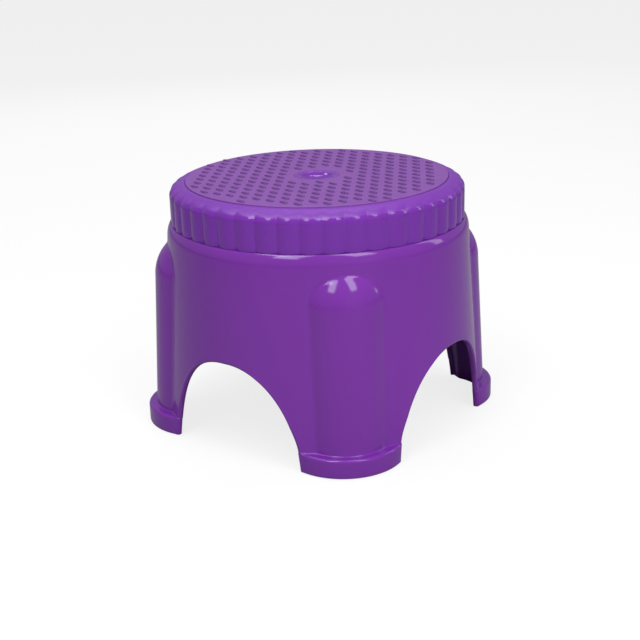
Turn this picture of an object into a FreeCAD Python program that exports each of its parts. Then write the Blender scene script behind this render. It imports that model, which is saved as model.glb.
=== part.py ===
"""Round moulded step stool: a one-piece skirt with four legs, a fluted seat cap,
an anti-slip tread disc, a dished centre cup and four rubber foot pads.

Millimetres, +Z up. The origin is on the floor under the middle of the seat.
The four legs stand at 45 degrees to X and Y, so the four arches face +X, +Y, -X and -Y.
"""
import FreeCAD
import Part
import math
import os

V = FreeCAD.Vector
UP = V(0, 0, 1)
ORIGIN = V(0, 0, 0)

# Heights above the floor
TREAD_TOP_Z = 210.2        # flat of the tread disc
RIM_TOP_Z = 209.2          # flat of the cap's rim, one step below the tread
RECESS_Z = 207.7           # floor of the recess that the tread disc lies in
DECK_UNDER_Z = 204.7       # underside of the cap's deck
LEDGE_Z = 175.8            # ledge on the body that the cap's lower edge stands on
SHOULDER_Z = 166.6         # where the conical skirt starts to round in
PAD_PROUD = 0.8            # how far the rubber pads stand below the legs

# Skirt and legs
BODY_R_FLOOR = 139.9       # outer radius of the cone at floor level
BODY_R_SHOULDER = 128.8    # outer radius of the cone at SHOULDER_Z
LEDGE_R = 125.6            # outer radius of the ledge
SHOULDER_BULGE = 0.66      # how far the shoulder's arc stands off its chord
NECK_R = 121.0             # outer radius of the neck inside the cap
WALL = 2.6                 # wall of the skirt, the neck and the arch flanges
LEG_AZIMUTHS = (45, 135, 225, 315)

# Pilaster: a leaning half-round column with a ball top on the front of each leg
PILASTER_R = 38.0
PILASTER_TOP_Z = 131.7     # centre of the ball top
PILASTER_TOP_RADIAL = 103.5
PILASTER_LEAN = 0.056      # outward run per millimetre of drop

# Foot band: the proud collar round the bottom of each leg
BAND_TOP_Z = 16.6
BAND_R = 49.6
BAND_RADIAL = 105.5
BAND_EDGE_R = 2.4

# Arches between the legs: half width and crown height of a flared superellipse
ARCH_HALF_WIDTH = 64.5
ARCH_CROWN_Z = 82.2
ARCH_FLARE = 0.141
ARCH_WIDTH_POWER = 2.45
ARCH_HEIGHT_POWER = 2.5
ARCH_POINTS = 14
FLANGE_DEPTH = 4.8         # how far the arch's edge flange reaches in from the outer wall

# Seat cap
FLUTES = 44
CREST_R = 125.0
FLUTE_R = 19.2             # plan radius of one convex flute
FLUTE_TOP_R = 8.0          # rounding of a flute into the rim
FLUTE_DROP = 2.2           # how far a flute's top ends below the rim
FLUTE_TURN = 0.46          # a valley stands this many degrees past a leg's middle
RIM_R = 123.0              # smooth rim that the flutes stand on, as wide as the valleys
RIM_ROUND_R = 11.4         # rounding of the smooth rim
CAP_BORE_R = 121.2         # inside of the cap's skirt, over the neck
RECESS_R = 111.6
RIB_COUNT = 12
RIB_THICK = 2.0
RIB_DROP = 7.0
RIB_IN_R = 26.0
RIB_OUT_R = 116.0
RIB_RING_R = 70.0

# Tread disc
TREAD_R = 111.2
TREAD_EDGE_R = 0.6
TREAD_HOLE_R = 19.6
GRAIN_HEIGHT = 0.8
GRAIN_LENGTH = 9.0
GRAIN_WIDTH = 3.6
COLUMN_PITCH = 11.36       # from one column of grains to the next
GRAIN_PITCH = 13.59        # from one grain to the next in its column
COLUMN_SHIFT = 0.544       # shift of each column against the last, in grain pitches
COLUMN_AZIMUTH = 121.2     # direction of the columns, from +X
GRAIN_AZIMUTH = -20.0      # direction of a grain's long side, from +X
FIRST_GRAIN = (4.5, 1.4)   # a grain near the middle
GRAIN_IN_R = 28.5          # grains are set between these two radii
GRAIN_OUT_R = 106.4

# Centre cup
CUP_FLANGE_R = 19.5
CUP_STEM_R = 17.1
CUP_BARB_R = 17.7
CUP_BARB_LENGTH = 1.6
CUP_BOTTOM_Z = 201.7
DISH_DEPTH = 5.8
DISH_FLAT_R = 4.0
DISH_MID_R = 11.2          # a point half way up the bowl
DISH_MID_DEPTH = 4.0
DISH_LIP_R = 16.4
DECK_HOLE_R = 17.15

# Rubber foot pads
PAD_DEPTH = 2.6            # depth of the pocket that the pad is pressed into
PAD_IN_R = 42.6
PAD_OUT_R = 46.9
PAD_HALF_ANGLE = 38.0


def revolve(points):
    """Solid of revolution about Z from a closed outline of (radius, z) points."""
    outline = [V(r, 0, z) for r, z in points]
    wire = Part.makePolygon(outline + outline[:1])
    return Part.Face(wire).revolve(ORIGIN, UP, 360)


def cone_radius(z):
    """Outer radius of the conical skirt at height z."""
    slope = (BODY_R_FLOOR - BODY_R_SHOULDER) / SHOULDER_Z
    return BODY_R_FLOOR - slope * z


def turned(shape, azimuth):
    """Copy of a shape turned about Z."""
    copy = shape.copy()
    copy.rotate(ORIGIN, UP, azimuth)
    return copy


def skirt_outside():
    """Solid cone with its rounded shoulder and the neck on top."""
    low = V(cone_radius(PAD_PROUD), 0, PAD_PROUD)
    shoulder = V(BODY_R_SHOULDER, 0, SHOULDER_Z)
    ledge = V(LEDGE_R, 0, LEDGE_Z)
    chord = ledge - shoulder
    normal = V(chord.z, 0, -chord.x).normalize()
    middle = (shoulder + ledge) * 0.5 + normal * SHOULDER_BULGE
    neck_low = V(NECK_R, 0, LEDGE_Z)
    neck_top = V(NECK_R, 0, DECK_UNDER_Z)
    axis_top = V(0, 0, DECK_UNDER_Z)
    axis_low = V(0, 0, PAD_PROUD)
    edges = [
        Part.makeLine(low, shoulder),
        Part.Arc(shoulder, middle, ledge).toShape(),
        Part.makeLine(ledge, neck_low),
        Part.makeLine(neck_low, neck_top),
        Part.makeLine(neck_top, axis_top),
        Part.makeLine(axis_top, axis_low),
        Part.makeLine(axis_low, low),
    ]
    return Part.Face(Part.Wire(edges)).revolve(ORIGIN, UP, 360)


def skirt_inside():
    """The hollow of the skirt and the neck, one wall in from the outside."""
    below = -5.0
    above = DECK_UNDER_Z + 5.0
    neck_in = NECK_R - WALL
    return revolve([
        (0, below),
        (cone_radius(below) - WALL, below),
        (BODY_R_SHOULDER - WALL, SHOULDER_Z),
        (neck_in, LEDGE_Z - WALL),
        (neck_in, above),
        (0, above),
    ])


def pilaster(radius):
    """Leaning round column with a ball top, for the leg on +X."""
    top = V(PILASTER_TOP_RADIAL, 0, PILASTER_TOP_Z)
    direction = V(PILASTER_LEAN, 0, -1).normalize()
    column = Part.makeCylinder(radius, PILASTER_TOP_Z + 5.0, top, direction)
    ball = Part.makeSphere(radius, top, UP)
    return column.fuse(ball)


def foot_band():
    """Proud collar at the foot of the leg on +X, with a rounded top edge."""
    band = Part.makeCylinder(BAND_R, BAND_TOP_Z - PAD_PROUD, V(BAND_RADIAL, 0, PAD_PROUD))
    top_edge = [e for e in band.Edges if e.BoundBox.ZMin > BAND_TOP_Z - 0.01]
    return band.makeFillet(BAND_EDGE_R, top_edge)


def arch_prism(grow):
    """Arch-shaped bar along X through both sides, grown outwards by a margin."""
    half = ARCH_HALF_WIDTH + grow
    crown = ARCH_CROWN_Z + grow
    right = []
    for i in range(ARCH_POINTS):
        z = crown * math.sin(0.5 * math.pi * i / ARCH_POINTS)
        rise = (1 - (z / crown) ** ARCH_HEIGHT_POWER) ** (1 / ARCH_WIDTH_POWER)
        right.append((z, (half - ARCH_FLARE * z) * rise))
    points = [V(-160, y, z) for z, y in right]
    points.append(V(-160, 0, crown))
    points += [V(-160, -y, z) for z, y in reversed(right)]
    curve = Part.BSplineCurve()
    curve.interpolate(points)
    below = -3.0
    right_low = V(-160, half, below)
    left_low = V(-160, -half, below)
    wire = Part.Wire([
        curve.toShape(),
        Part.makeLine(points[-1], left_low),
        Part.makeLine(left_low, right_low),
        Part.makeLine(right_low, points[0]),
    ])
    return Part.Face(wire).extrude(V(320, 0, 0))


def both_arches(grow):
    """The arch bars along X and along Y."""
    bar = arch_prism(grow)
    return bar.fuse(turned(bar, 90))


def flange_band():
    """Ring of space just inside the skirt's wall, as deep as the arch flanges."""
    top = ARCH_CROWN_Z + 3 * WALL
    outer = cone_radius(0)
    outer_top = cone_radius(top)
    return revolve([
        (outer - FLANGE_DEPTH, 0),
        (outer, 0),
        (outer_top, top),
        (outer_top - FLANGE_DEPTH, top),
    ])


def pad_shape():
    """Curved rubber pad under the foot band of the leg on +X."""
    height = PAD_PROUD + PAD_DEPTH
    base = V(BAND_RADIAL, 0, 0)
    start = math.radians(-PAD_HALF_ANGLE)
    direction = V(math.cos(start), math.sin(start), 0)
    outer = Part.makeCylinder(PAD_OUT_R, height, base, UP, 2 * PAD_HALF_ANGLE)
    inner = Part.makeCylinder(PAD_IN_R, height, base, UP, 2 * PAD_HALF_ANGLE)
    strip = outer.cut(inner)
    strip.rotate(base, UP, -PAD_HALF_ANGLE)
    middle_r = 0.5 * (PAD_IN_R + PAD_OUT_R)
    end_r = 0.5 * (PAD_OUT_R - PAD_IN_R)
    for side in (1, -1):
        end = base + V(direction.x, side * direction.y, 0) * middle_r
        strip = strip.fuse(Part.makeCylinder(end_r, height, end))
    return strip.removeSplitter()


def body_shell():
    """Skirt, neck, four legs with pilasters and foot bands, and four flanged arches."""
    columns = [turned(pilaster(PILASTER_R), a) for a in LEG_AZIMUTHS]
    bands = [turned(foot_band(), a) for a in LEG_AZIMUTHS]
    floor_cut = Part.makeBox(400, 400, 20, V(-200, -200, PAD_PROUD - 20))
    outside = skirt_outside().fuse(columns + bands).cut(floor_cut)
    flues = [turned(pilaster(PILASTER_R - WALL), a) for a in LEG_AZIMUTHS]
    hollow = skirt_inside().fuse(flues)
    flanges = both_arches(WALL).common(flange_band())
    pockets = [turned(pad_shape(), a) for a in LEG_AZIMUTHS]
    shell = outside.cut(hollow.cut(flanges))
    return shell.cut([both_arches(0)] + pockets)


def flute():
    """One convex flute on +X, cut to its share of the ring, with a rounded top."""
    height = RIM_TOP_Z - FLUTE_DROP - LEDGE_Z
    centre = V(CREST_R - FLUTE_R, 0, LEDGE_Z)
    column = Part.makeCylinder(FLUTE_R, height, centre)
    top_edge = [e for e in column.Edges if e.BoundBox.ZMin > LEDGE_Z + height - 0.01]
    column = column.makeFillet(FLUTE_TOP_R, top_edge)
    half = math.pi / FLUTES
    reach = 140.0
    corner = V(reach, reach * math.tan(half), LEDGE_Z)
    mirror = V(reach, -reach * math.tan(half), LEDGE_Z)
    axis = V(0, 0, LEDGE_Z)
    wedge = Part.Face(Part.makePolygon([axis, mirror, corner, axis])).extrude(UP * height)
    inner = Part.makeCylinder(RIM_R - RIM_ROUND_R, height, axis)
    return column.common(wedge).cut(inner)


def deck_ribs():
    """Radial ribs and one ring under the deck."""
    low = DECK_UNDER_Z - RIB_DROP
    bar = Part.makeBox(RIB_OUT_R - RIB_IN_R, RIB_THICK, RIB_DROP, V(RIB_IN_R, -RIB_THICK / 2, low))
    bars = [turned(bar, i * 360 / RIB_COUNT) for i in range(RIB_COUNT)]
    ring = revolve([
        (RIB_RING_R - RIB_THICK / 2, low),
        (RIB_RING_R + RIB_THICK / 2, low),
        (RIB_RING_R + RIB_THICK / 2, DECK_UNDER_Z),
        (RIB_RING_R - RIB_THICK / 2, DECK_UNDER_Z),
    ])
    return bars + [ring]


def seat_cap():
    """Fluted cap: skirt over the neck, rounded rim, deck with a recess, and ribs."""
    first = 180.0 / FLUTES + FLUTE_TURN
    one = flute()
    ring = [turned(one, first + i * 360 / FLUTES) for i in range(FLUTES)]
    core = Part.makeCylinder(RIM_R, RIM_TOP_Z - LEDGE_Z, V(0, 0, LEDGE_Z))
    top_edge = [e for e in core.Edges if e.BoundBox.ZMin > RIM_TOP_Z - 0.01]
    core = core.makeFillet(RIM_ROUND_R, top_edge)
    cap = core.fuse(ring).removeSplitter()
    inside = Part.makeCylinder(CAP_BORE_R, DECK_UNDER_Z - LEDGE_Z + 1, V(0, 0, LEDGE_Z - 1))
    recess = Part.makeCylinder(RECESS_R, 10, V(0, 0, RECESS_Z))
    hole = Part.makeCylinder(DECK_HOLE_R, 60, V(0, 0, LEDGE_Z))
    cap = cap.cut([inside, recess, hole])
    return cap.fuse(deck_ribs())


def grain_places():
    """Centres of the grains: leaning columns, each shifted against the last."""
    along = math.radians(COLUMN_AZIMUTH)
    step = V(math.cos(along), math.sin(along), 0) * GRAIN_PITCH
    across = V(math.sin(along), -math.cos(along), 0) * COLUMN_PITCH
    start = V(FIRST_GRAIN[0], FIRST_GRAIN[1], 0)
    reach = 12
    places = []
    for column in range(-reach, reach + 1):
        shift = (column * COLUMN_SHIFT) % 1.0
        for row in range(-reach, reach + 1):
            place = start + across * column + step * (row + shift)
            if GRAIN_IN_R < place.Length < GRAIN_OUT_R:
                places.append(place)
    return places


def grain():
    """One raised grain at the origin, its long side along X, sunk a little into the disc."""
    sink = 0.5
    height = GRAIN_HEIGHT + sink
    low = TREAD_TOP_Z - sink
    straight = GRAIN_LENGTH - GRAIN_WIDTH
    bar = Part.makeBox(straight, GRAIN_WIDTH, height, V(-straight / 2, -GRAIN_WIDTH / 2, low))
    ends = [Part.makeCylinder(GRAIN_WIDTH / 2, height, V(s * straight / 2, 0, low)) for s in (-1, 1)]
    return bar.fuse(ends).removeSplitter()


def tread_disc():
    """Flat disc with a smooth ring round its centre hole and raised anti-slip grains."""
    thick = TREAD_TOP_Z - RECESS_Z
    disc = Part.makeCylinder(TREAD_R, thick, V(0, 0, RECESS_Z))
    top_edge = [e for e in disc.Edges if e.BoundBox.ZMin > TREAD_TOP_Z - 0.01]
    disc = disc.makeFillet(TREAD_EDGE_R, top_edge)
    disc = disc.cut(Part.makeCylinder(TREAD_HOLE_R, 20, V(0, 0, RECESS_Z - 5)))
    one = turned(grain(), GRAIN_AZIMUTH)
    grains = []
    for place in grain_places():
        copy = one.copy()
        copy.translate(place)
        grains.append(copy)
    return disc.fuse(grains)


def centre_cup():
    """Dished cup: flange flush with the tread, stem through the deck, snap barb below it."""
    floor_z = TREAD_TOP_Z - DISH_DEPTH
    flange_in = V(DISH_LIP_R, 0, TREAD_TOP_Z)
    flange_out = V(CUP_FLANGE_R, 0, TREAD_TOP_Z)
    dish_edge = V(DISH_FLAT_R, 0, floor_z)
    dish_mid = V(DISH_MID_R, 0, TREAD_TOP_Z - DISH_MID_DEPTH)
    under = V(CUP_FLANGE_R, 0, RECESS_Z)
    stem_top = V(CUP_STEM_R, 0, RECESS_Z)
    stem_low = V(CUP_STEM_R, 0, DECK_UNDER_Z)
    barb = V(CUP_BARB_R, 0, DECK_UNDER_Z)
    barb_low = V(CUP_STEM_R, 0, DECK_UNDER_Z - CUP_BARB_LENGTH)
    tip = V(CUP_STEM_R - 1.0, 0, CUP_BOTTOM_Z)
    axis_low = V(0, 0, CUP_BOTTOM_Z)
    axis_top = V(0, 0, floor_z)
    edges = [
        Part.makeLine(axis_top, dish_edge),
        Part.Arc(dish_edge, dish_mid, flange_in).toShape(),
        Part.makeLine(flange_in, flange_out),
        Part.makeLine(flange_out, under),
        Part.makeLine(under, stem_top),
        Part.makeLine(stem_top, stem_low),
        Part.makeLine(stem_low, barb),
        Part.makeLine(barb, barb_low),
        Part.makeLine(barb_low, tip),
        Part.makeLine(tip, axis_low),
        Part.makeLine(axis_low, axis_top),
    ]
    return Part.Face(Part.Wire(edges)).revolve(ORIGIN, UP, 360)


def export(node, shape):
    """Write one sub-part and print what it measures."""
    solids = shape.Solids
    whole = solids[0] if len(solids) == 1 else Part.makeCompound(solids)
    whole.exportStep("parts/" + node + ".step")
    box = whole.BoundBox
    print(node, len(solids), "solid(s)", "valid" if whole.isValid() else "INVALID",
          "volume %.0f" % whole.Volume,
          "x %.1f..%.1f y %.1f..%.1f z %.1f..%.1f"
          % (box.XMin, box.XMax, box.YMin, box.YMax, box.ZMin, box.ZMax))


def main():
    os.makedirs("parts", exist_ok=True)
    export("body_shell", body_shell())
    export("seat_cap", seat_cap())
    export("tread_disc", tread_disc())
    export("centre_cup", centre_cup())
    pad = pad_shape()
    for number, azimuth in enumerate(LEG_AZIMUTHS, start=1):
        export("foot_pad_%d" % number, turned(pad, azimuth))


main()
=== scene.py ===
"""Looks of the round moulded step stool.

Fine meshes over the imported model, plastic and rubber materials, soft studio light and a camera.
"""
import math

import bpy
import numpy as np
from mathutils import Matrix, Vector


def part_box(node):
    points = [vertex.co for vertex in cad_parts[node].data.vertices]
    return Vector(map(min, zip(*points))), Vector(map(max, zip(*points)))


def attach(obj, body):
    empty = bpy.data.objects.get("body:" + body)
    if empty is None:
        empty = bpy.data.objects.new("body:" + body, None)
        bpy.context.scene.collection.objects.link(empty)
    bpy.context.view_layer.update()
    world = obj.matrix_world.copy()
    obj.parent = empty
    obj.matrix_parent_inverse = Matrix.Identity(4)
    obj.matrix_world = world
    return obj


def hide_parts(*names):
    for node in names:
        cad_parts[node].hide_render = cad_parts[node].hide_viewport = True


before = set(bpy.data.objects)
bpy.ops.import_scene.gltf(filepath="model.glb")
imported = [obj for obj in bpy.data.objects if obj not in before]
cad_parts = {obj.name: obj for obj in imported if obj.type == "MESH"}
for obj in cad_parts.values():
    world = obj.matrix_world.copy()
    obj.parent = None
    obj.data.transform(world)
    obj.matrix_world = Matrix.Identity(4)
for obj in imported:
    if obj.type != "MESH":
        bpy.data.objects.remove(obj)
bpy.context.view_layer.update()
MM = 0.001  # ------------------------------------------------------------------ measures, in millimetres
TREAD_TOP_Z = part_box("centre_cup")[1].z / MM
RIM_TOP_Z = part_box("seat_cap")[1].z / MM
LEDGE_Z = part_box("seat_cap")[0].z / MM
RECESS_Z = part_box("tread_disc")[0].z / MM
NECK_TOP_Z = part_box("body_shell")[1].z / MM
SOLE_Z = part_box("body_shell")[0].z / MM
PAD_TOP_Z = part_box("foot_pad_1")[1].z / MM
TREAD_R = 111.2
CUP_BOTTOM_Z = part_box("centre_cup")[0].z / MM

LEGS = 4
WALL = 2.6
FLOOR_R = 139.9  # skirt's outer radius at the floor
SHOULDER_R = 128.8  # and where the shoulder begins
SHOULDER_Z = 166.6
SHOULDER_BULGE = 0.66
LEDGE_R = 125.6
NECK_R = 121.0

PILASTER_R = 38.0
PILASTER_TOP_Z = 131.7
PILASTER_RADIAL = 103.5
PILASTER_LEAN = 0.056
PILASTER_BLEND = 1.5  # softness of the crease between pilaster and skirt

BAND_TOP_Z = 16.6
BAND_R = 49.6
BAND_RADIAL = 105.5
BAND_EDGE_R = 2.4
BAND_ROOT_R = 1.2
SOLE_EDGE_R = 0.7

ARCH_HALF = 64.5
ARCH_CROWN = 82.2
ARCH_FLARE = 0.141
ARCH_WIDTH_POWER = 2.45
ARCH_HEIGHT_POWER = 2.5
ARCH_EDGE_R = 3.4  # rounding from the skirt into the arch's flange
ARCH_LIP = 2.6  # pull that raises a lip along the sides of the arch, about half as high
FLANGE_DEPTH = 4.8
FLANGE_ROOT_R = 1.6

FLUTES = 44
CREST_R = 125.0
FLUTE_R = 19.2
FLUTE_TOP_R = 8.0
FLUTE_BLEND = 0.12
FLUTE_DROP = 2.2  # how far a flute's top ends below the rim
FLUTE_TURN = 0.46  # a valley stands this many degrees past a leg's middle
RIM_R = 123.0
RIM_ROUND_R = 11.4
RIM_BLEND = 1.2  # softness of the crease where a flute fades into the smooth rim
CAP_EDGE_R = 0.5  # rounding of the flutes' lower edge
RECESS_R = 111.6
CAP_BORE_R = 121.2
DECK_UNDER_Z = NECK_TOP_Z
DECK_HOLE_R = 17.15
RIB_COUNT = 12
RIB_THICK = 2.0
RIB_DROP = 7.0
RIB_IN_R = 26.0
RIB_OUT_R = 116.0
RIB_RING_R = 70.0
RIB_EDGE_R = 0.4

TREAD_EDGE_R = 0.6
GRAIN_HEIGHT = 0.8
GRAIN_LENGTH = 9.0
GRAIN_WIDTH = 3.6
COLUMN_PITCH = 11.36
GRAIN_PITCH = 13.59
COLUMN_SHIFT = 0.544
COLUMN_AZIMUTH = 121.2
GRAIN_AZIMUTH = -20.0
FIRST_GRAIN = (4.5, 1.4)
GRAIN_IN_R = 28.5
GRAIN_OUT_R = 106.4

CUP_FLANGE_R = 19.5
CUP_STEM_R = 17.1
DISH_DEPTH = 5.8
DISH_LIP_R = 16.4

PAD_IN_R = 42.6
PAD_OUT_R = 46.9
PAD_HALF_ANGLE = 38.0  # ------------------------------------------------------------------ mesh helpers
def make_piece(name, points, faces, material, node):
    """A smooth mesh from points in millimetres that rides on the root and stands for a CAD node."""
    mesh = bpy.data.meshes.new(name)
    mesh.from_pydata((np.asarray(points, float) * MM).tolist(), [], faces)
    mesh.validate()
    mesh.update()
    for polygon in mesh.polygons:
        polygon.use_smooth = True
    piece = bpy.data.objects.new(name, mesh)
    bpy.context.scene.collection.objects.link(piece)
    mesh.materials.append(material)
    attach(piece, "root")
    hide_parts(node)
    return piece


def sharpen(piece, degrees):
    """Splits the shading where two faces meet at more than an angle."""
    piece.data.set_sharp_from_angle(angle=math.radians(degrees))


def quads(index, flip=False):
    """Quads of a 2-D array of vertex numbers; a number of -1 marks a gap."""
    a, b, c, d = index[:-1, :-1], index[:-1, 1:], index[1:, 1:], index[1:, :-1]
    found = np.stack([a, b, c, d], -1).reshape(-1, 4)
    found = found[(found >= 0).all(1)]
    if flip:
        found = found[:, ::-1]
    return found.tolist()


def closed(index):
    """The same array with its first column again at the end."""
    return np.concatenate([index, index[:, :1]], 1)


def lathe(profile, segments):
    """Points and faces of a closed (radius, z) outline turned about Z; outside is right of its path."""
    profile = np.asarray(profile, float)
    angle = np.linspace(0, 2 * math.pi, segments, endpoint=False)
    x = profile[:, :1] * np.cos(angle)
    y = profile[:, :1] * np.sin(angle)
    z = np.repeat(profile[:, 1:], segments, 1)
    points = np.stack([x, y, z], -1).reshape(-1, 3)
    index = closed(np.arange(len(points)).reshape(len(profile), segments))
    index = np.concatenate([index, index[:1]], 0)
    return points, quads(index)


def join_parts(parts):
    """Several (points, faces) as one."""
    points, faces, base = [], [], 0
    for some_points, some_faces in parts:
        points.append(np.asarray(some_points, float))
        faces += [[v + base for v in face] for face in some_faces]
        base += len(some_points)
    return np.concatenate(points), faces


def arc_points(centre, radius, start, end, count):
    """Points of a (radius, z) arc, angles in degrees, both ends included."""
    angle = np.radians(np.linspace(start, end, count))
    return [(centre[0] + radius * math.cos(a), centre[1] + radius * math.sin(a)) for a in angle]


def smooth_max(a, b, soft):
    """The larger of two values, with the corner between them rounded."""
    near = np.maximum(soft - np.abs(a - b), 0) / soft
    return np.maximum(a, b) + near * near * soft / 4


# ------------------------------------------------------------------ skirt and legs
def cone_radius(z):
    return FLOOR_R - (FLOOR_R - SHOULDER_R) / SHOULDER_Z * z


def circle_on_ray(radial, radius, azimuth):
    """Where a ray from the axis leaves a plan circle centred on azimuth 0; very small where it misses."""
    inside = radius ** 2 - (radial * np.sin(azimuth)) ** 2
    reach = radial * np.cos(azimuth) + np.sqrt(np.maximum(inside, 0))
    return np.where(inside > 0, reach, 1.0)


def leg_radius(azimuth, z, inset):
    """Radius of the skirt with its pilaster, moved in by a wall."""
    radial = PILASTER_RADIAL + PILASTER_LEAN * (PILASTER_TOP_Z - z)
    radial = np.where(z > PILASTER_TOP_Z, PILASTER_RADIAL, radial)
    lift = np.maximum(z - PILASTER_TOP_Z, 0)
    radius = np.sqrt(np.maximum((PILASTER_R - inset) ** 2 - lift ** 2, 0.01))
    column = circle_on_ray(radial, radius, azimuth)
    return smooth_max(cone_radius(z) - inset, column, PILASTER_BLEND)


def band_radius(azimuth):
    return circle_on_ray(BAND_RADIAL, BAND_R, azimuth)


def arch_curve(count):
    """Half outline of an arch as (half width, z), from floor to crown, and its normal out of the opening."""
    turn = np.linspace(0, math.pi / 2, count)
    z = ARCH_CROWN * np.sin(turn) ** (2 / ARCH_HEIGHT_POWER)
    rise = np.maximum(1 - (z / ARCH_CROWN) ** ARCH_HEIGHT_POWER, 0) ** (1 / ARCH_WIDTH_POWER)
    half = (ARCH_HALF - ARCH_FLARE * z) * rise
    d_half, d_z = np.gradient(half), np.gradient(z)
    length = np.hypot(d_half, d_z)
    normal = np.stack([d_z / length, -d_half / length], -1)
    return np.stack([half, z], -1), normal


ARCH_LINE, ARCH_NORMAL = arch_curve(4000)


def offset_arch(margin):
    """The arch's half outline moved out of the opening by a margin."""
    return ARCH_LINE + margin * ARCH_NORMAL


def azimuth_for_half_width(radius_at, half, z):
    """Azimuth, from the leg's middle, where the surface is a given distance from the arch's middle plane."""
    azimuth = np.radians(20.0) * np.ones_like(z)
    for _ in range(12):
        azimuth = math.pi / 4 - np.arcsin(np.clip(half / radius_at(azimuth, z), -1, 1))
    return azimuth


def polar(radius, azimuth, z):
    return np.stack([radius * np.cos(azimuth), radius * np.sin(azimuth), z + 0 * radius], -1)


class LegGrid:
    """Half a leg sector of one skin, from the middle of the leg to the middle of the arch.

    Rows below the split run from the leg's middle to the arch's edge. Rows above it run on
    over the arch, and there the lowest row follows the arch's edge.
    """

    FIXED = np.radians(np.concatenate([np.arange(0, 9, 0.7), np.arange(9, 13.9, 0.3)]))
    EDGE_COLUMNS = 9
    CROWN_COLUMNS = 26
    FAN_ROWS = 9
    SPLIT_Z = 58.0
    FAN_TOP_Z = 104.0

    def __init__(self, inset, margin, low_rows, dome_step):
        self.inset = inset
        self.line = offset_arch(margin)
        line_z = self.line[:, 1]
        self.low_rows = low_rows
        low_z = np.array([row["z"] for row in low_rows])
        climb = np.linspace(low_z[-1], self.SPLIT_Z, 13)[1:]
        self.row_z = np.concatenate([low_z, climb])
        self.split_row = len(self.row_z) - 1
        radius_at = lambda azimuth, z: leg_radius(azimuth, z, inset)
        split = azimuth_for_half_width(radius_at, self.half_at(self.SPLIT_Z), np.array(self.SPLIT_Z))
        self.leg_columns = len(self.FIXED) + self.EDGE_COLUMNS
        blend = np.linspace(0, 1, self.CROWN_COLUMNS + 1)[1:]
        self.crown = split + (math.pi / 4 - split) * blend
        edge_azimuth = azimuth_for_half_width(radius_at, self.line[:, 0], line_z)
        self.crown_z = np.interp(self.crown, edge_azimuth, line_z)
        dome = np.arange(self.FAN_TOP_Z, 120, 8).tolist()
        dome += np.arange(120, SHOULDER_Z - 2, dome_step).tolist() + [SHOULDER_Z]
        self.high_z = np.array(dome)

    def half_at(self, z):
        """Half width of the arch, with its margin, at a height."""
        return np.interp(z, self.line[:, 1], self.line[:, 0])

    def row_azimuths(self, z, radius_at):
        """Azimuths of a row below the split: fixed near the pilaster, then spread to the arch's edge."""
        edge = azimuth_for_half_width(radius_at, self.half_at(z), np.array(float(z)))
        spread = np.linspace(0, 1, self.EDGE_COLUMNS + 1)[1:]
        return np.concatenate([self.FIXED, self.FIXED[-1] + (edge - self.FIXED[-1]) * spread])

    def build(self):
        """Rows of points, from the sole to the shoulder; rows below the split are shorter."""
        rows = []
        for row in self.low_rows:
            azimuth = self.row_azimuths(row["z"], lambda a, z: row["radius"](a))
            rows.append(polar(row["radius"](azimuth), azimuth, row["height"](azimuth)))
        for z in self.row_z[len(self.low_rows):]:
            azimuth = self.row_azimuths(z, lambda a, h: leg_radius(a, h, self.inset))
            rows.append(polar(leg_radius(azimuth, z, self.inset), azimuth, z))
        split_azimuth = self.row_azimuths(self.SPLIT_Z, lambda a, h: leg_radius(a, h, self.inset))
        azimuth = np.concatenate([split_azimuth, self.crown])
        base = np.concatenate([np.full(len(split_azimuth), self.SPLIT_Z), self.crown_z])
        rows.pop()
        ease = np.linspace(0, 1, self.FAN_ROWS + 1) ** 1.3
        for share in ease[:-1]:
            z = base + (self.FAN_TOP_Z - base) * share
            rows.append(polar(leg_radius(azimuth, z, self.inset), azimuth, z))
        for z in self.high_z:
            rows.append(polar(leg_radius(azimuth, z, self.inset), azimuth, z))
        return rows


def outer_low_rows():
    """The foot band's profile: rounded sole edge, upright face, rounded top edge, shelf, root."""
    rows = []

    def add(z, radius, height=None):
        rows.append({"z": z, "radius": radius, "height": height or (lambda a: np.full_like(a, z))})

    def step(azimuth):
        return band_radius(azimuth) - leg_radius(azimuth, BAND_TOP_Z, 0)

    def edge_r(azimuth):
        return np.minimum(BAND_EDGE_R, 0.62 * step(azimuth))

    def root_r(azimuth):
        return np.minimum(BAND_ROOT_R, 0.3 * step(azimuth))

    for turn in np.radians([90, 60, 30, 0]):
        z = SOLE_Z + SOLE_EDGE_R * (1 - math.sin(turn))
        add(z, lambda a, t=turn: band_radius(a) - SOLE_EDGE_R * (1 - math.cos(t)))
    for z in np.linspace(SOLE_Z + SOLE_EDGE_R, BAND_TOP_Z - BAND_EDGE_R, 5)[1:-1]:
        add(z, band_radius)
    for turn in np.radians(np.linspace(0, 90, 8)):
        add(BAND_TOP_Z - BAND_EDGE_R * (1 - math.sin(turn)),
            lambda a, t=turn: band_radius(a) - edge_r(a) * (1 - math.cos(t)),
            lambda a, t=turn: BAND_TOP_Z - edge_r(a) * (1 - math.sin(t)))
    for share in (0.35, 0.7):
        add(BAND_TOP_Z,
            lambda a, s=share: band_radius(a) - edge_r(a) - s * (step(a) - edge_r(a) - root_r(a)),
            lambda a: np.full_like(a, BAND_TOP_Z))
    for turn in np.radians(np.linspace(90, 0, 6)):
        add(BAND_TOP_Z + BAND_ROOT_R * (1 - math.sin(turn)),
            lambda a, t=turn: leg_radius(a, BAND_TOP_Z, 0) + root_r(a) * (1 - math.cos(t)),
            lambda a, t=turn: BAND_TOP_Z + root_r(a) * (1 - math.sin(t)))
    add(BAND_TOP_Z + 2.2, lambda a: leg_radius(a, BAND_TOP_Z + 2.2, 0))
    return rows


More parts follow.
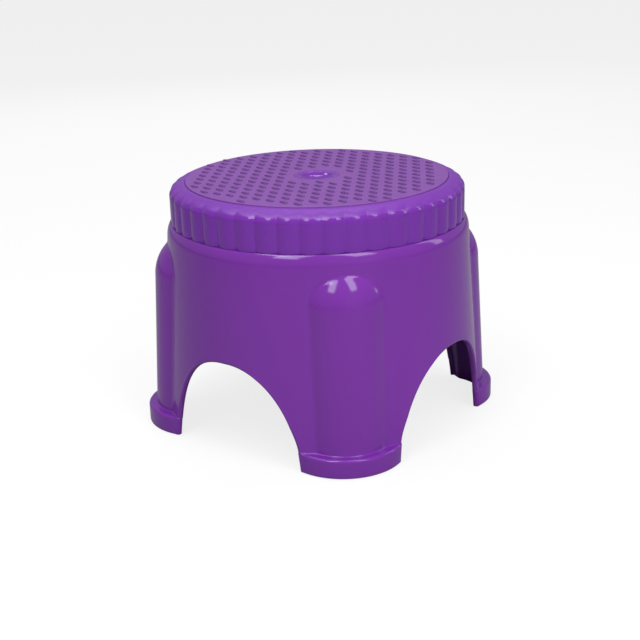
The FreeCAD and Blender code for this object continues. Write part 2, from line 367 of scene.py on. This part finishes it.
def inner_low_rows(outer):
    """Plain rows on the inside, as many as outside so that the arch's edge joins row to row."""
    rows = []
    top = outer[-1]["z"]
    for z in np.linspace(SOLE_Z, top, len(outer)):
        rows.append({"z": z, "radius": lambda a, h=z: leg_radius(a, h, WALL),
                     "height": lambda a, h=z: np.full_like(a, h)})
    return rows


def neck_profile():
    """Shoulder, ledge and neck, from the top of the outer skin over to the top of the inner skin."""
    start = np.array([SHOULDER_R, SHOULDER_Z])
    end = np.array([LEDGE_R, LEDGE_Z])
    chord = end - start
    side = np.array([chord[1], -chord[0]]) / np.hypot(*chord)
    share = np.linspace(0, 1, 11)[1:]
    arc = [tuple(start + chord * s + side * SHOULDER_BULGE * 4 * s * (1 - s)) for s in share]
    arc[-1] = (LEDGE_R, LEDGE_Z - 0.25)
    inner = NECK_R - WALL
    return arc + [
        (LEDGE_R - 0.25, LEDGE_Z), (123.0, LEDGE_Z), (NECK_R + 0.5, LEDGE_Z), (NECK_R, LEDGE_Z + 0.5),
        (NECK_R, NECK_TOP_Z - 0.4), (NECK_R - 0.4, NECK_TOP_Z), (inner + 0.4, NECK_TOP_Z),
        (inner, NECK_TOP_Z - 0.4), (inner, LEDGE_Z - WALL + 0.8),
        (inner + 0.3, LEDGE_Z - WALL - 0.2), (inner + 4.0, LEDGE_Z - WALL - 3.2),
    ]


def arch_section(outer_edge, inner_edge, z_line, arch_turn):
    """Cross-section of the arch's edge at each point of its outline, from the outer skin to the inner.

    outer_edge and inner_edge are the ends of the two skins, z_line gives (half width, z) of the
    sharp edge, and arch_turn the arch's outward direction in the leg's frame.
    """
    out = np.array([math.cos(arch_turn), math.sin(arch_turn), 0.0])
    side = np.array([math.sin(arch_turn), -math.cos(arch_turn), 0.0])
    half, z, normal = z_line
    up = np.array([0.0, 0.0, 1.0])

    def at(margin, depth_from_skin, tip):
        y = half + margin * normal[:, 0]
        h = z + margin * normal[:, 1]
        if tip:
            reach = np.sqrt((cone_radius(h) - FLANGE_DEPTH) ** 2 - y ** 2) - depth_from_skin
        else:
            reach = (outer_edge @ out) - depth_from_skin
        return reach[:, None] * out + y[:, None] * side + h[:, None] * up

    lip = ARCH_LIP * np.clip((half - 8) / 22, 0, 1) * np.clip((z - BAND_TOP_Z - 6) / 14, 0, 1)
    corner = at(0, 0, False) + lip[:, None] * out
    turn_in = at(0, ARCH_EDGE_R, False)
    section = []
    for t in (0.12, 0.25, 0.4, 0.55, 0.7, 0.85, 1.0):
        section.append((1 - t) ** 2 * outer_edge + 2 * t * (1 - t) * corner + t * t * turn_in)
    tip_r = WALL / 2
    for angle in np.radians([0, 30, 60, 90, 120, 150, 180]):
        section.append(at(tip_r * (1 - math.cos(angle)), -tip_r * (1 - math.sin(angle)), True))
    root_reach = (inner_edge @ out) - FLANGE_ROOT_R
    y = half + WALL * normal[:, 0]
    h = z + WALL * normal[:, 1]
    back = root_reach[:, None] * out + y[:, None] * side + h[:, None] * up
    elbow = (root_reach + FLANGE_ROOT_R)[:, None] * out + y[:, None] * side + h[:, None] * up
    for t in (0.0, 0.33, 0.66):
        section.append((1 - t) ** 2 * back + 2 * t * (1 - t) * elbow + t * t * inner_edge)
    return section


def body_mesh():
    """Skirt, legs, arches and neck as one closed skin."""
    outer_rows = outer_low_rows()
    outer = LegGrid(0.0, ARCH_EDGE_R, outer_rows, 0.8)
    inner = LegGrid(WALL, WALL + FLANGE_ROOT_R, inner_low_rows(outer_rows), 2.4)
    skins = [outer.build(), inner.build()]
    split = outer.split_row
    leg_last = outer.leg_columns - 1
    crown_last = leg_last + outer.CROWN_COLUMNS
    per_leg = 2 * crown_last
    columns = LEGS * per_leg
    points = []

    def place(point, leg, mirror):
        x, y, z = point
        turn = math.radians(45 + 90 * leg)
        y = -y if mirror else y
        return (x * math.cos(turn) - y * math.sin(turn), x * math.sin(turn) + y * math.cos(turn), z)

    def column_of(leg, c):
        return (leg * per_leg + c + crown_last) % columns

    def add_skin(rows):
        index = np.full((len(rows), columns), -1)
        for leg in range(LEGS):
            for c in range(-crown_last, crown_last):
                for j, row in enumerate(rows):
                    if abs(c) < len(row):
                        index[j, column_of(leg, c)] = len(points)
                        points.append(place(row[abs(c)], leg, c < 0))
        return index

    outside = add_skin(skins[0])
    inside = add_skin(skins[1])
    faces = quads(closed(outside)) + quads(closed(inside), flip=True)

    # neck, from the outer skin's top row to the inner skin's
    angle = np.array([math.atan2(points[v][1], points[v][0]) for v in outside[-1]])
    ring = [outside[-1]]
    for radius, z in neck_profile():
        ring.append(np.arange(len(points), len(points) + columns))
        points.extend((radius * math.cos(a), radius * math.sin(a), z) for a in angle)
    ring.append(inside[-1])
    faces += quads(closed(np.array(ring)))

    # edge of each half arch, from the sole up to the crown
    def edge_points(rows):
        low = [rows[j][leg_last] for j in range(split)]
        high = [rows[split][c] for c in range(leg_last, crown_last + 1)]
        return np.array(low + high)

    outer_edge, inner_edge = edge_points(skins[0]), edge_points(skins[1])
    low_z = outer.row_z[:split]
    margin_line = outer.line
    places = np.arange(len(ARCH_LINE))
    edge_z = np.concatenate([low_z, [outer.SPLIT_Z], outer.crown_z])
    on_line = np.interp(edge_z, margin_line[:, 1], places)
    half = np.interp(on_line, places, ARCH_LINE[:, 0])
    height = np.interp(on_line, places, ARCH_LINE[:, 1])
    normal = np.stack([np.interp(on_line, places, ARCH_NORMAL[:, k]) for k in (0, 1)], -1)
    normal[0] = (1, 0)
    normal[-1] = (0, 1)
    half[-1] = 0
    height[:1] = SOLE_Z
    outer_edge[-1, 1] = outer_edge[-1, 0] * math.tan(math.pi / 4)
    section = arch_section(outer_edge, inner_edge, (half, height, normal), math.pi / 4)

    def edge_index(index, leg, sign):
        low = [index[j, column_of(leg, sign * leg_last)] for j in range(split)]
        cols = [column_of(leg, sign * c) for c in range(leg_last, crown_last + 1)]
        return low + [index[split, c] for c in cols]

    corners = {}
    for leg in range(LEGS):
        for sign in (1, -1):
            strip = [edge_index(outside, leg, sign)]
            for line in section:
                numbers = list(range(len(points), len(points) + len(line)))
                points.extend(place(p, leg, sign < 0) for p in line)
                strip.append(numbers)
            strip.append(edge_index(inside, leg, sign))
            strip = np.array(strip)
            corners[leg, sign] = strip
            faces += quads(strip, flip=sign < 0)
    # two half arches share the crown's section
    for leg in range(LEGS):
        mine = corners[leg, 1][:, -1]
        other = corners[(leg + 1) % LEGS, -1][:, -1]
        swap = {int(o): int(m) for o, m in zip(other, mine)}
        faces = [[swap.get(int(v), int(v)) for v in face] for face in faces]

    # soles: a strip from skin to skin and a small polygon under each arch edge
    for leg in range(LEGS):
        cols = [column_of(leg, c) for c in range(-leg_last, leg_last + 1)]
        strip = np.array([[outside[0, c] for c in cols], [inside[0, c] for c in cols]])
        faces += quads(strip, flip=True)
        for sign in (1, -1):
            end = [int(v) for v in corners[leg, sign][:, 0]]
            faces.append(end if sign > 0 else end[::-1])
    return points, faces


# ------------------------------------------------------------------ cap
def flute_face(azimuth):
    """Radius of the fluted ring's upright face at an azimuth from a flute's middle."""
    centre = CREST_R - FLUTE_R
    pitch = 2 * math.pi / FLUTES
    own = circle_on_ray(centre, FLUTE_R, azimuth)
    neighbour = circle_on_ray(centre, FLUTE_R, pitch - np.abs(azimuth))
    return smooth_max(own, neighbour, FLUTE_BLEND)


def flute_reach(azimuth, rise, hub_r, hub_z):
    """Distance from a hub inside the rim to one flute's surface, along a ray that rises by an angle."""
    centre = CREST_R - FLUTE_R
    flat_r = FLUTE_R - FLUTE_TOP_R
    round_z = RIM_TOP_Z - FLUTE_DROP - FLUTE_TOP_R
    near = np.zeros_like(azimuth + rise)
    far = near + 24.0
    for _ in range(24):
        middle = 0.5 * (near + far)
        radius = hub_r + middle * np.cos(rise)
        z = hub_z + middle * np.sin(rise)
        away = np.hypot(radius * np.cos(azimuth) - centre, radius * np.sin(azimuth))
        over = np.hypot(np.maximum(away - flat_r, 0), np.maximum(z - round_z, 0))
        inside = over < FLUTE_TOP_R
        near = np.where(inside, middle, near)
        far = np.where(inside, far, middle)
    return middle


def cap_mesh():
    """Fluted ring with a rounded rim, the recess, the deck and its ribs."""
    per_flute = 16
    pitch = 2 * math.pi / FLUTES
    share = np.linspace(-1, 1, per_flute, endpoint=False)
    local = np.sin(share * math.pi / 2) * pitch / 2
    first = math.radians(45 + FLUTE_TURN) + pitch / 2
    azimuth = np.concatenate([first + i * pitch + local for i in range(FLUTES)])
    local = np.tile(local, FLUTES)
    face_r = flute_face(local)
    hub_r = RIM_R - RIM_ROUND_R
    hub_z = RIM_TOP_Z - RIM_ROUND_R
    rows = []
    for turn in np.radians([90, 60, 30, 0]):
        z = LEDGE_Z + CAP_EDGE_R * (1 - math.sin(turn))
        rows.append((face_r - CAP_EDGE_R * (1 - math.cos(turn)), np.full_like(face_r, z)))
    for z in np.linspace(LEDGE_Z + CAP_EDGE_R, hub_z, 5)[1:-1]:
        rows.append((face_r, np.full_like(face_r, z)))
    for rise in np.radians(np.linspace(0, 90, 27)):
        own = flute_reach(local, rise, hub_r, hub_z)
        neighbour = flute_reach(pitch - np.abs(local), rise, hub_r, hub_z)
        flutes = smooth_max(own, neighbour, FLUTE_BLEND)
        reach = smooth_max(flutes, np.full_like(own, RIM_ROUND_R), RIM_BLEND)
        reach = np.minimum(reach, (RIM_TOP_Z - hub_z) / max(math.sin(rise), 0.01))
        rows.append((hub_r + reach * math.cos(rise), hub_z + reach * math.sin(rise)))
    ones = np.ones_like(face_r)
    for radius, z in ((RECESS_R, RIM_TOP_Z - 0.3), (RECESS_R, RECESS_Z),
                      (DECK_HOLE_R + 0.2, RECESS_Z), (DECK_HOLE_R, RECESS_Z - 0.2),
                      (DECK_HOLE_R, DECK_UNDER_Z), (RIB_IN_R, DECK_UNDER_Z), (RIB_OUT_R, DECK_UNDER_Z),
                      (CAP_BORE_R - 1, DECK_UNDER_Z), (CAP_BORE_R, DECK_UNDER_Z - 1), (CAP_BORE_R, LEDGE_Z)):
        rows.append((radius * ones, z * ones))
    points = np.concatenate([np.stack([r * np.cos(azimuth), r * np.sin(azimuth), z], -1) for r, z in rows])
    index = closed(np.arange(len(points)).reshape(len(rows), -1))
    index = np.concatenate([index, index[:1]], 0)
    parts = [(points, quads(index))]
    low = DECK_UNDER_Z - RIB_DROP
    high = DECK_UNDER_Z + 0.5
    half = RIB_THICK / 2
    for i in range(RIB_COUNT):
        parts.append(rib_bar(RIB_IN_R, RIB_OUT_R, half, low, high, 2 * math.pi * i / RIB_COUNT))
    parts.append(lathe([(RIB_RING_R + side, z) for side, z in rib_section(half, low, high)], 192))
    return join_parts(parts)


def rib_section(half, low, high):
    """Cross-section of a rib with softened lower edges, from its top left round to its top right."""
    left = [(-half, high), (-half, low + RIB_EDGE_R), (-half + RIB_EDGE_R, low)]
    return left + [(-side, z) for side, z in reversed(left)]


def rib_bar(start, end, half, low, high, turn):
    """A radial rib."""
    section = rib_section(half, low, high)
    points = []
    for x in (start, end):
        for y, z in section:
            points.append((x * math.cos(turn) - y * math.sin(turn), x * math.sin(turn) + y * math.cos(turn), z))
    count = len(section)
    faces = [[k, (k + 1) % count, count + (k + 1) % count, count + k] for k in range(count)]
    faces.append(list(range(count))[::-1])
    faces.append(list(range(count, 2 * count)))
    return points, faces


# ------------------------------------------------------------------ tread
def grain_places():
    """Centres of the grains, the same as in the CAD."""
    along = math.radians(COLUMN_AZIMUTH)
    step = np.array([math.cos(along), math.sin(along)]) * GRAIN_PITCH
    across = np.array([math.sin(along), -math.cos(along)]) * COLUMN_PITCH
    places = []
    for column in range(-12, 13):
        shift = (column * COLUMN_SHIFT) % 1.0
        for row in range(-12, 13):
            place = np.array(FIRST_GRAIN) + across * column + step * (row + shift)
            if GRAIN_IN_R < np.hypot(*place) < GRAIN_OUT_R:
                places.append(place)
    return places


def grain_mesh():
    """One grain: a long rounded button, sunk a little, at the origin with its long side along X."""
    radius = GRAIN_WIDTH / 2
    straight = (GRAIN_LENGTH - GRAIN_WIDTH) / 2
    profile = [(1.0, -0.4), (1.0, 0.25), (0.97, 0.55), (0.9, 0.76), (0.76, 0.9), (0.5, 0.97), (0.2, 1.0)]
    ring = []
    for centre, angles in ((straight, np.linspace(-90, 90, 10)), (-straight, np.linspace(90, 270, 10))):
        ring += [(centre, math.radians(a)) for a in angles]
    points = []
    for share, lift in profile:
        for centre, angle in ring:
            points.append((centre + radius * share * math.cos(angle), radius * share * math.sin(angle),
                           TREAD_TOP_Z + GRAIN_HEIGHT * lift))
    index = closed(np.arange(len(points)).reshape(len(profile), len(ring)))
    faces = quads(index)
    faces.append(list(range(len(ring)))[::-1])
    faces.append(list(range(len(points) - len(ring), len(points))))
    return np.array(points), faces


def tread_mesh():
    """The disc with its smooth ring and raised grains."""
    round_centre = (TREAD_R - TREAD_EDGE_R, TREAD_TOP_Z - TREAD_EDGE_R)
    profile = [(CUP_FLANGE_R + 0.04, RECESS_Z), (TREAD_R, RECESS_Z)]
    profile += arc_points(round_centre, TREAD_EDGE_R, 0, 90, 6)
    profile += [(r, TREAD_TOP_Z) for r in (100, 80, 60, 40, 28)]
    profile += [(CUP_FLANGE_R + 0.12, TREAD_TOP_Z), (CUP_FLANGE_R + 0.04, TREAD_TOP_Z - 0.1)]
    parts = [lathe(profile, 288)]
    grain, faces = grain_mesh()
    turn = math.radians(GRAIN_AZIMUTH)
    x = grain[:, 0] * math.cos(turn) - grain[:, 1] * math.sin(turn)
    y = grain[:, 0] * math.sin(turn) + grain[:, 1] * math.cos(turn)
    for place in grain_places():
        parts.append((np.stack([x + place[0], y + place[1], grain[:, 2]], -1), faces))
    return join_parts(parts)


# ------------------------------------------------------------------ cup and pads
def cup_mesh():
    """The dished cup: a soft lip that rolls into a rounded bowl."""
    profile = [(0.02, CUP_BOTTOM_Z), (CUP_STEM_R - 1.4, CUP_BOTTOM_Z), (CUP_STEM_R - 1.0, CUP_BOTTOM_Z + 0.4),
               (CUP_STEM_R, DECK_UNDER_Z - 1.6), (CUP_STEM_R + 0.5, DECK_UNDER_Z - 0.2),
               (CUP_STEM_R + 0.4, DECK_UNDER_Z), (CUP_STEM_R, DECK_UNDER_Z + 0.1),
               (CUP_STEM_R, RECESS_Z), (CUP_FLANGE_R, RECESS_Z), (CUP_FLANGE_R, TREAD_TOP_Z - 0.1),
               (CUP_FLANGE_R - 0.08, TREAD_TOP_Z)]
    for radius in np.linspace(DISH_LIP_R, 0.02, 40):
        share = radius / DISH_LIP_R
        bowl = DISH_DEPTH * (1 - share ** 2.2)
        lip = 0.5 * (1 + math.cos(math.pi * np.clip((share - 0.72) / 0.28, 0, 1)))
        profile.append((radius, TREAD_TOP_Z - bowl * (0.35 + 0.65 * lip)))
    return lathe(profile, 128)


def pad_mesh(turn):
    """A curved rubber pad with softened lower edges and round ends."""
    middle = 0.5 * (PAD_IN_R + PAD_OUT_R)
    half = 0.5 * (PAD_OUT_R - PAD_IN_R)
    along = np.radians(np.linspace(-PAD_HALF_ANGLE, PAD_HALF_ANGLE, 33))
    ring = [(middle * math.cos(a), middle * math.sin(a), a) for a in along]
    end_turns = np.radians(np.linspace(0, 180, 13)[1:-1])
    path = list(ring)
    path += [(ring[-1][0], ring[-1][1], along[-1] + t) for t in end_turns]
    path += [(x, y, a + math.pi) for x, y, a in reversed(ring)]
    path += [(ring[0][0], ring[0][1], along[0] + math.pi + t) for t in end_turns]
    levels = [(half - 0.5, 0.0), (half - 0.15, 0.15), (half, 0.5), (half, PAD_TOP_Z)]
    points = []
    for width, z in levels:
        for x, y, a in path:
            u = BAND_RADIAL + x + width * math.cos(a)
            v = y + width * math.sin(a)
            points.append((u * math.cos(turn) - v * math.sin(turn), u * math.sin(turn) + v * math.cos(turn), z))
    count = len(path)
    index = closed(np.arange(len(points)).reshape(len(levels), count))
    faces = quads(index)
    faces.append(list(range(count))[::-1])
    faces.append(list(range(len(points) - count, len(points))))
    return points, faces


# ------------------------------------------------------------------ materials
def colour(red, green, blue):
    """Linear colour from 0-255 display values."""
    def linear(v):
        v /= 255
        return v / 12.92 if v <= 0.04045 else ((v + 0.055) / 1.055) ** 2.4
    return (linear(red), linear(green), linear(blue), 1.0)


class Look:
    """A node material with a Principled shader and short ways to add texture to it."""

    def __init__(self, name, ior=1.49):
        self.material = bpy.data.materials.new(name)
        self.material.use_nodes = True
        self.tree = self.material.node_tree
        self.shader = self.tree.nodes["Principled BSDF"]
        self.shader.inputs["IOR"].default_value = ior
        self.place = self.node("ShaderNodeTexCoord").outputs["Object"]

    def node(self, kind, **values):
        made = self.tree.nodes.new(kind)
        for name, value in values.items():
            setattr(made, name, value)
        return made

    def link(self, source, target):
        self.tree.links.new(source, target)

    def noise(self, scale, detail=4.0, roughness=0.5, stretch=(1, 1, 1)):
        mapping = self.node("ShaderNodeMapping")
        mapping.inputs["Scale"].default_value = stretch
        self.link(self.place, mapping.inputs["Vector"])
        made = self.node("ShaderNodeTexNoise")
        made.inputs["Scale"].default_value = scale
        made.inputs["Detail"].default_value = detail
        made.inputs["Roughness"].default_value = roughness
        self.link(mapping.outputs["Vector"], made.inputs["Vector"])
        return made.outputs["Fac"]

    def spread(self, value, low, high, to_low, to_high):
        made = self.node("ShaderNodeMapRange")
        for name, number in (("From Min", low), ("From Max", high), ("To Min", to_low), ("To Max", to_high)):
            made.inputs[name].default_value = number
        self.link(value, made.inputs["Value"])
        return made.outputs["Result"]

    def mix(self, factor, first, second):
        made = self.node("ShaderNodeMix", data_type="RGBA")
        self.link(factor, made.inputs["Factor"])
        for socket, value in ((made.inputs["A"], first), (made.inputs["B"], second)):
            if isinstance(value, tuple):
                socket.default_value = value
            else:
                self.link(value, socket)
        return made.outputs["Result"]

    def bump(self, height, strength, distance, below=None):
        made = self.node("ShaderNodeBump")
        made.inputs["Strength"].default_value = strength
        made.inputs["Distance"].default_value = distance
        self.link(height, made.inputs["Height"])
        if below is not None:
            self.link(below, made.inputs["Normal"])
        return made.outputs["Normal"]


def gloss_plastic(name, deep, light, rough, satin=None):
    """Glossy moulded polypropylene: faint flow marks, uneven gloss, a fine ripple.

    satin gives two heights, in millimetres: the gloss fades to satin from the first to the second.
    """
    look = Look(name)
    flow = look.spread(look.noise(9, 3, 0.55, (1, 1, 0.35)), 0.3, 0.7, 0, 1)
    look.link(look.mix(flow, deep, light), look.shader.inputs["Base Color"])
    smear = look.noise(34, 5, 0.6, (1, 1, 0.5))
    gloss = look.spread(smear, 0.35, 0.75, rough, rough + 0.07)
    if satin is not None:
        split = look.node("ShaderNodeSeparateXYZ")
        look.link(look.place, split.inputs[0])
        dull = look.spread(split.outputs["Z"], satin[0] * MM, satin[1] * MM, 0, 0.34)
        total = look.node("ShaderNodeMath", operation="ADD")
        look.link(gloss, total.inputs[0])
        look.link(dull, total.inputs[1])
        gloss = total.outputs[0]
    look.link(gloss, look.shader.inputs["Roughness"])
    ripple = look.noise(120, 2, 0.4)
    fine = look.noise(1400, 2, 0.5)
    normal = look.bump(ripple, 0.02, 0.0003)
    look.link(look.bump(fine, 0.04, 0.00015, normal), look.shader.inputs["Normal"])
    return look.material


def satin_plastic(name, deep, light, raised):
    """Spark-textured polypropylene of the tread: a fine dull grain, and raised grains painted darker as painted
    shade for the shade on their flanks.
    """
    look = Look(name)
    flow = look.spread(look.noise(14, 4, 0.6), 0.3, 0.7, 0, 1)
    split = look.node("ShaderNodeSeparateXYZ")
    look.link(look.place, split.inputs[0])
    # painted shade: from just above the disc's top upward, the grains take the darker colour in place of the
    # shade that falls on their flanks
    above = look.spread(split.outputs["Z"], (TREAD_TOP_Z + 0.04) * MM, (TREAD_TOP_Z + 0.4) * MM, 0, 1)
    look.link(look.mix(above, look.mix(flow, deep, light), raised), look.shader.inputs["Base Color"])
    look.link(look.spread(look.noise(60, 4, 0.6), 0.3, 0.7, 0.42, 0.52), look.shader.inputs["Roughness"])
    look.link(look.bump(look.noise(2200, 3, 0.6), 0.25, 0.00012), look.shader.inputs["Normal"])
    return look.material


def rubber(name):
    """Dark rubber with a dusty bloom."""
    look = Look(name, 1.52)
    dust = look.spread(look.noise(90, 5, 0.65), 0.4, 0.75, 0, 1)
    look.link(look.mix(dust, colour(28, 26, 32), colour(58, 54, 62)), look.shader.inputs["Base Color"])
    look.link(look.spread(dust, 0, 1, 0.68, 0.85), look.shader.inputs["Roughness"])
    look.link(look.bump(look.noise(1500, 3, 0.6), 0.3, 0.0002), look.shader.inputs["Normal"])
    return look.material


# ------------------------------------------------------------------ light, floor and camera
VIEW_AZIMUTH = math.radians(35.88)  # from -Y towards +X
CAMERA_AWAY = 0.98742
CAMERA_HEIGHT = 0.42789
CAMERA_TURN = math.radians(35.917)
CAMERA_PITCH = math.radians(-19.424)
CAMERA_ROLL = math.radians(-1.634)
CAMERA_LENS = 66.628


def view_direction(azimuth, elevation):
    """Unit direction, the azimuth counted from the side that the camera looks at."""
    turn = VIEW_AZIMUTH + math.radians(azimuth)
    rise = math.radians(elevation)
    return Vector((math.sin(turn) * math.cos(rise), -math.cos(turn) * math.cos(rise), math.sin(rise)))


def add_camera():
    data = bpy.data.cameras.new("camera")
    data.lens = CAMERA_LENS
    data.sensor_width = 36
    camera = bpy.data.objects.new("camera", data)
    bpy.context.scene.collection.objects.link(camera)
    spot = view_direction(0, 0) * CAMERA_AWAY
    spot.z = CAMERA_HEIGHT
    turn = Matrix.Rotation(CAMERA_TURN, 4, "Z") @ Matrix.Rotation(math.pi / 2 + CAMERA_PITCH, 4, "X")
    camera.matrix_world = Matrix.Translation(spot) @ turn @ Matrix.Rotation(CAMERA_ROLL, 4, "Z")
    bpy.context.scene.camera = camera


def add_softbox(name, azimuth, elevation, distance, width, height, power, mirrored=True):
    """A rectangular softbox that faces the seat; a fill is one that gloss doesn't mirror."""
    data = bpy.data.lights.new(name, "AREA")
    data.shape = "RECTANGLE"
    data.size, data.size_y = width, height
    data.energy = power
    lamp = bpy.data.objects.new(name, data)
    lamp.visible_glossy = mirrored
    bpy.context.scene.collection.objects.link(lamp)
    target = Vector((0, 0, 0.12))
    away = view_direction(azimuth, elevation)
    lamp.location = target + away * distance
    lamp.rotation_euler = away.to_track_quat("Z", "Y").to_euler()


def camera_split(tree, seen, other, target):
    """Sends one shader to camera rays and another to all other rays."""
    path = tree.nodes.new("ShaderNodeLightPath")
    mix = tree.nodes.new("ShaderNodeMixShader")
    tree.links.new(path.outputs["Is Camera Ray"], mix.inputs[0])
    tree.links.new(other, mix.inputs[1])
    tree.links.new(seen, mix.inputs[2])
    tree.links.new(mix.outputs[0], target)


def add_world(strength):
    """White behind the stool, and a dimmer room around it."""
    world = bpy.data.worlds.new("studio")
    bpy.context.scene.world = world
    world.use_nodes = True
    tree = world.node_tree
    room = tree.nodes["Background"]
    room.inputs["Color"].default_value = (1, 1, 1, 1)
    room.inputs["Strength"].default_value = strength
    white = tree.nodes.new("ShaderNodeBackground")
    white.inputs["Color"].default_value = (1, 1, 1, 1)
    white.inputs["Strength"].default_value = 1.0
    camera_split(tree, white.outputs[0], room.outputs[0], tree.nodes["World Output"].inputs["Surface"])


def add_floor(bounce, veil):
    """A plain pale floor: near white to the camera with a faint shadow, and darker in reflections."""
    mesh = bpy.data.meshes.new("floor")
    size = 6.0
    corners = [(-size, -size, 0), (size, -size, 0), (size, size, 0), (-size, size, 0)]
    mesh.from_pydata(corners, [], [(0, 1, 2, 3)])
    floor = bpy.data.objects.new("floor", mesh)
    bpy.context.scene.collection.objects.link(floor)
    look = Look("floor")
    look.shader.inputs["Base Color"].default_value = (bounce, bounce, bounce, 1)
    look.shader.inputs["Roughness"].default_value = 1.0
    look.shader.inputs["Specular IOR Level"].default_value = 0.0
    matt = look.node("ShaderNodeBsdfDiffuse")
    matt.inputs["Color"].default_value = (0.9, 0.9, 0.9, 1)
    glow = look.node("ShaderNodeEmission")
    glow.inputs["Strength"].default_value = 1.0
    pale = look.node("ShaderNodeMixShader")
    pale.inputs[0].default_value = veil
    look.link(matt.outputs[0], pale.inputs[1])
    look.link(glow.outputs[0], pale.inputs[2])
    output = look.tree.nodes["Material Output"]
    camera_split(look.tree, pale.outputs[0], look.shader.outputs[0], output.inputs["Surface"])
    mesh.materials.append(look.material)


# ------------------------------------------------------------------ the stool
body_plastic = gloss_plastic("body_plastic", colour(110, 40, 150), colour(116, 44, 156), 0.07)
cap_plastic = gloss_plastic("cap_plastic", colour(107, 38, 154), colour(113, 42, 160), 0.07,
                            (RIM_TOP_Z - 6.5, RIM_TOP_Z - 4.5))
cup_plastic = gloss_plastic("cup_plastic", colour(104, 44, 148), colour(110, 48, 154), 0.08,
                            (TREAD_TOP_Z - 1.0, TREAD_TOP_Z - 0.3))
# the third colour is painted shade for the raised grains, not a colour of the plastic
tread_plastic = satin_plastic("tread_plastic", colour(114, 60, 146), colour(119, 64, 152), colour(84, 38, 114))
pad_rubber = rubber("pad_rubber")

points, faces = body_mesh()
body = make_piece("body_skin", points, faces, body_plastic, "body_shell")
points, faces = cap_mesh()
cap = make_piece("cap_skin", points, faces, cap_plastic, "seat_cap")
points, faces = tread_mesh()
tread = make_piece("tread_skin", points, faces, tread_plastic, "tread_disc")
points, faces = cup_mesh()
cup = make_piece("cup_skin", points, faces, cup_plastic, "centre_cup")
for piece in (body, cap, tread, cup):
    sharpen(piece, 40)
for number in range(1, LEGS + 1):
    points, faces = pad_mesh(math.radians(45 + 90 * (number - 1)))
    pad = make_piece("pad_skin_%d" % number, points, faces, pad_rubber, "foot_pad_%d" % number)
    sharpen(pad, 40)

add_floor(0.36, 0.8)
add_world(0.35)
add_softbox("left_box", -76, 62, 1.5, 1.5, 0.2, 6)
add_softbox("window_left", -26, 55, 1.5, 0.42, 1.2, 8)
add_softbox("window_right", 36, 56, 1.5, 0.42, 1.2, 8)
add_softbox("side_window", 97, 26, 1.6, 0.25, 1.0, 2)
add_softbox("back_strip", 175, 66, 1.5, 0.9, 0.15, 3)
add_softbox("front_fill", 28, 12, 2.0, 1.6, 0.8, 12, False)
add_softbox("rear_fill", 190, 25, 2.0, 1.6, 0.8, 6, False)
add_camera()
bpy.context.scene.view_settings.view_transform = "Standard"
